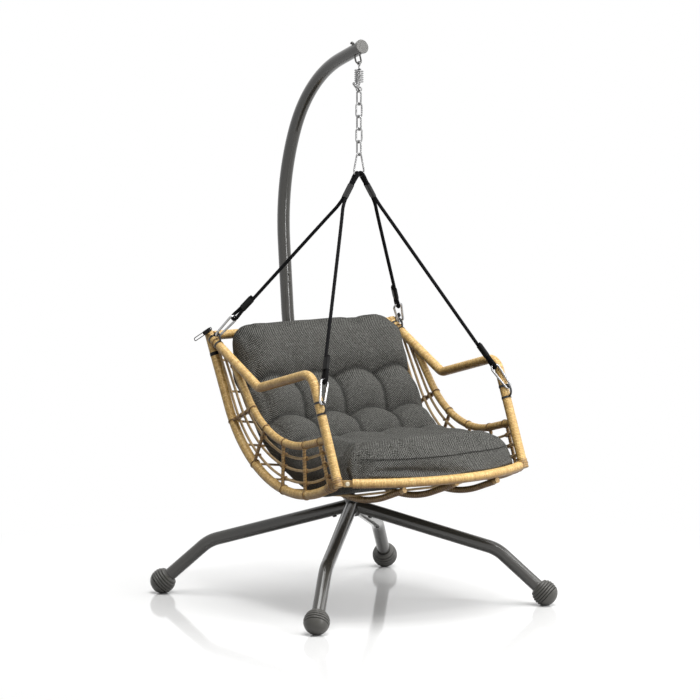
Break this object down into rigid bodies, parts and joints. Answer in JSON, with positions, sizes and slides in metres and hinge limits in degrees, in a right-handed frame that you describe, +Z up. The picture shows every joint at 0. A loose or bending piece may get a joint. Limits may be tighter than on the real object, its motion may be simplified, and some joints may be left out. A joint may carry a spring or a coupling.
{
  "type": "hanging swing chair with stand",
  "caption": "Hanging basket chair of tan wrapped tubes with a dark quilted cushion, slung on black ropes, a chain and a spring from a curved steel stand with ball feet",
  "frame": {"origin": "floor level, middle of the whole object's length and width", "axes": "+Z up, the sitter faces -Y, +X is the side that the picture shows on the right"},
  "size_m": [1.028, 1.1291, 1.9167],
  "materials": {
    "stand_steel": "satin dark warm grey coat",
    "foot_rubber": "dull dark rubber",
    "zinc": "bright zinc plate",
    "cap_plastic": "satin plastic",
    "black_steel": "black coat",
    "rope": "laid black rope",
    "sleeve_plastic": "dark shrink sleeve",
    "rattan": "wound tan strand over tube",
    "cushion_fabric": "charcoal heather weave"
  },
  "bodies": {
    "stand": {"base_hub": "stand_steel", "leg_front_left": "stand_steel", "leg_front_right": "stand_steel", "leg_rear_left": "stand_steel", "leg_rear_right": "stand_steel", "foot_front_left": "foot_rubber", "foot_front_right": "foot_rubber", "foot_rear_left": "foot_rubber", "foot_rear_right": "foot_rubber", "leg_bolts": "zinc", "mast_lower": "stand_steel", "mast_upper": "stand_steel", "mast_bolts": "zinc", "mast_cap": "cap_plastic", "u_bolt": "zinc", "u_bolt_nuts": "zinc"},
    "spring_body": {"spring": "zinc"},
    "chain_top": {"chain_link_top": "zinc", "chain_spare_link": "zinc"},
    "chain": {"chain_links": "zinc"},
    "chair": {"top_hook": "zinc", "sling_rope_left": "rope", "sling_rope_right": "rope", "sling_sleeves": "sleeve_plastic", "rope_end_sleeves": "sleeve_plastic", "hang_bows": "black_steel", "hook_front_left": "zinc", "hook_front_right": "zinc", "hook_rear_left": "zinc", "hook_rear_right": "zinc", "outer_rail_left": "rattan", "outer_rail_right": "rattan", "arm_rail_left": "rattan", "arm_rail_right": "rattan", "inner_rail_left": "rattan", "inner_rail_right": "rattan", "side_rods_left": "rattan", "side_rods_right": "rattan", "side_ribs_left": "rattan", "side_ribs_right": "rattan", "front_bar": "rattan", "front_bar_bolts": "zinc", "rear_bar": "rattan", "seat_rod_left": "rattan", "seat_rod_middle": "rattan", "seat_rod_right": "rattan", "cross_rods": "rattan", "cushion": "cushion_fabric", "rear_clip_wires": "zinc", "rear_clip_sleeves": "foot_rubber"},
    "top_gate": {"top_hook_gate": "zinc"},
    "gate_front_left": {"hook_gate_front_left": "zinc"},
    "gate_front_right": {"hook_gate_front_right": "zinc"},
    "gate_rear_left": {"hook_gate_rear_left": "zinc"},
    "gate_rear_right": {"hook_gate_rear_right": "zinc"}
  },
  "joints": [
    {"name": "swing_fore_aft", "type": "hinge", "parent": "stand", "child": "spring_body", "pos_m": [0, 0.01149, 1.83558], "axis": [1, 0, 0], "range_deg": [-12, 1]},
    {"name": "bounce", "type": "slide", "parent": "spring_body", "child": "chain_top", "axis": [0, 0, -1], "range_m": [0, 0.02], "stiffness_N_per_m": 25000, "springref_m": -0.012, "deforming": ["spring"]},
    {"name": "swing_side", "type": "hinge", "parent": "chain_top", "child": "chain", "pos_m": [0, 0.01149, 1.69648], "axis": [0, 1, 0], "range_deg": [-5, 5]},
    {"name": "swivel", "type": "hinge", "parent": "chain", "child": "chair", "pos_m": [0, 0.01149, 1.53248], "axis": [0, 0, 1], "range_deg": [-10, 10]},
    {"name": "top_gate_hinge", "type": "hinge", "parent": "chair", "child": "top_gate", "pos_m": [0.0108, 0.01149, 1.51823], "axis": [0, 1, 0], "range_deg": [0, 18], "stiffness_Nm_per_rad": 0.05},
    {"name": "gate_hinge_rear_left", "type": "hinge", "parent": "chair", "child": "gate_rear_left", "pos_m": [-0.38505, 0.2936, 0.92708], "axis": [0.0164, 0.8505, 0.5257], "range_deg": [0, 11], "stiffness_Nm_per_rad": 0.05},
    {"name": "gate_hinge_rear_right", "type": "hinge", "parent": "chair", "child": "gate_rear_right", "pos_m": [0.38505, 0.2936, 0.92708], "axis": [0.0164, -0.8505, -0.5257], "range_deg": [0, 11], "stiffness_Nm_per_rad": 0.05},
    {"name": "gate_hinge_front_left", "type": "hinge", "parent": "chair", "child": "gate_front_left", "pos_m": [-0.3678, -0.31999, 0.75274], "axis": [0.1906, -0.9015, 0.3886], "range_deg": [0, 11], "stiffness_Nm_per_rad": 0.05},
    {"name": "gate_hinge_front_right", "type": "hinge", "parent": "chair", "child": "gate_front_right", "pos_m": [0.3678, -0.31999, 0.75274], "axis": [0.1906, 0.9015, -0.3886], "range_deg": [0, 11], "stiffness_Nm_per_rad": 0.05}
  ]
}
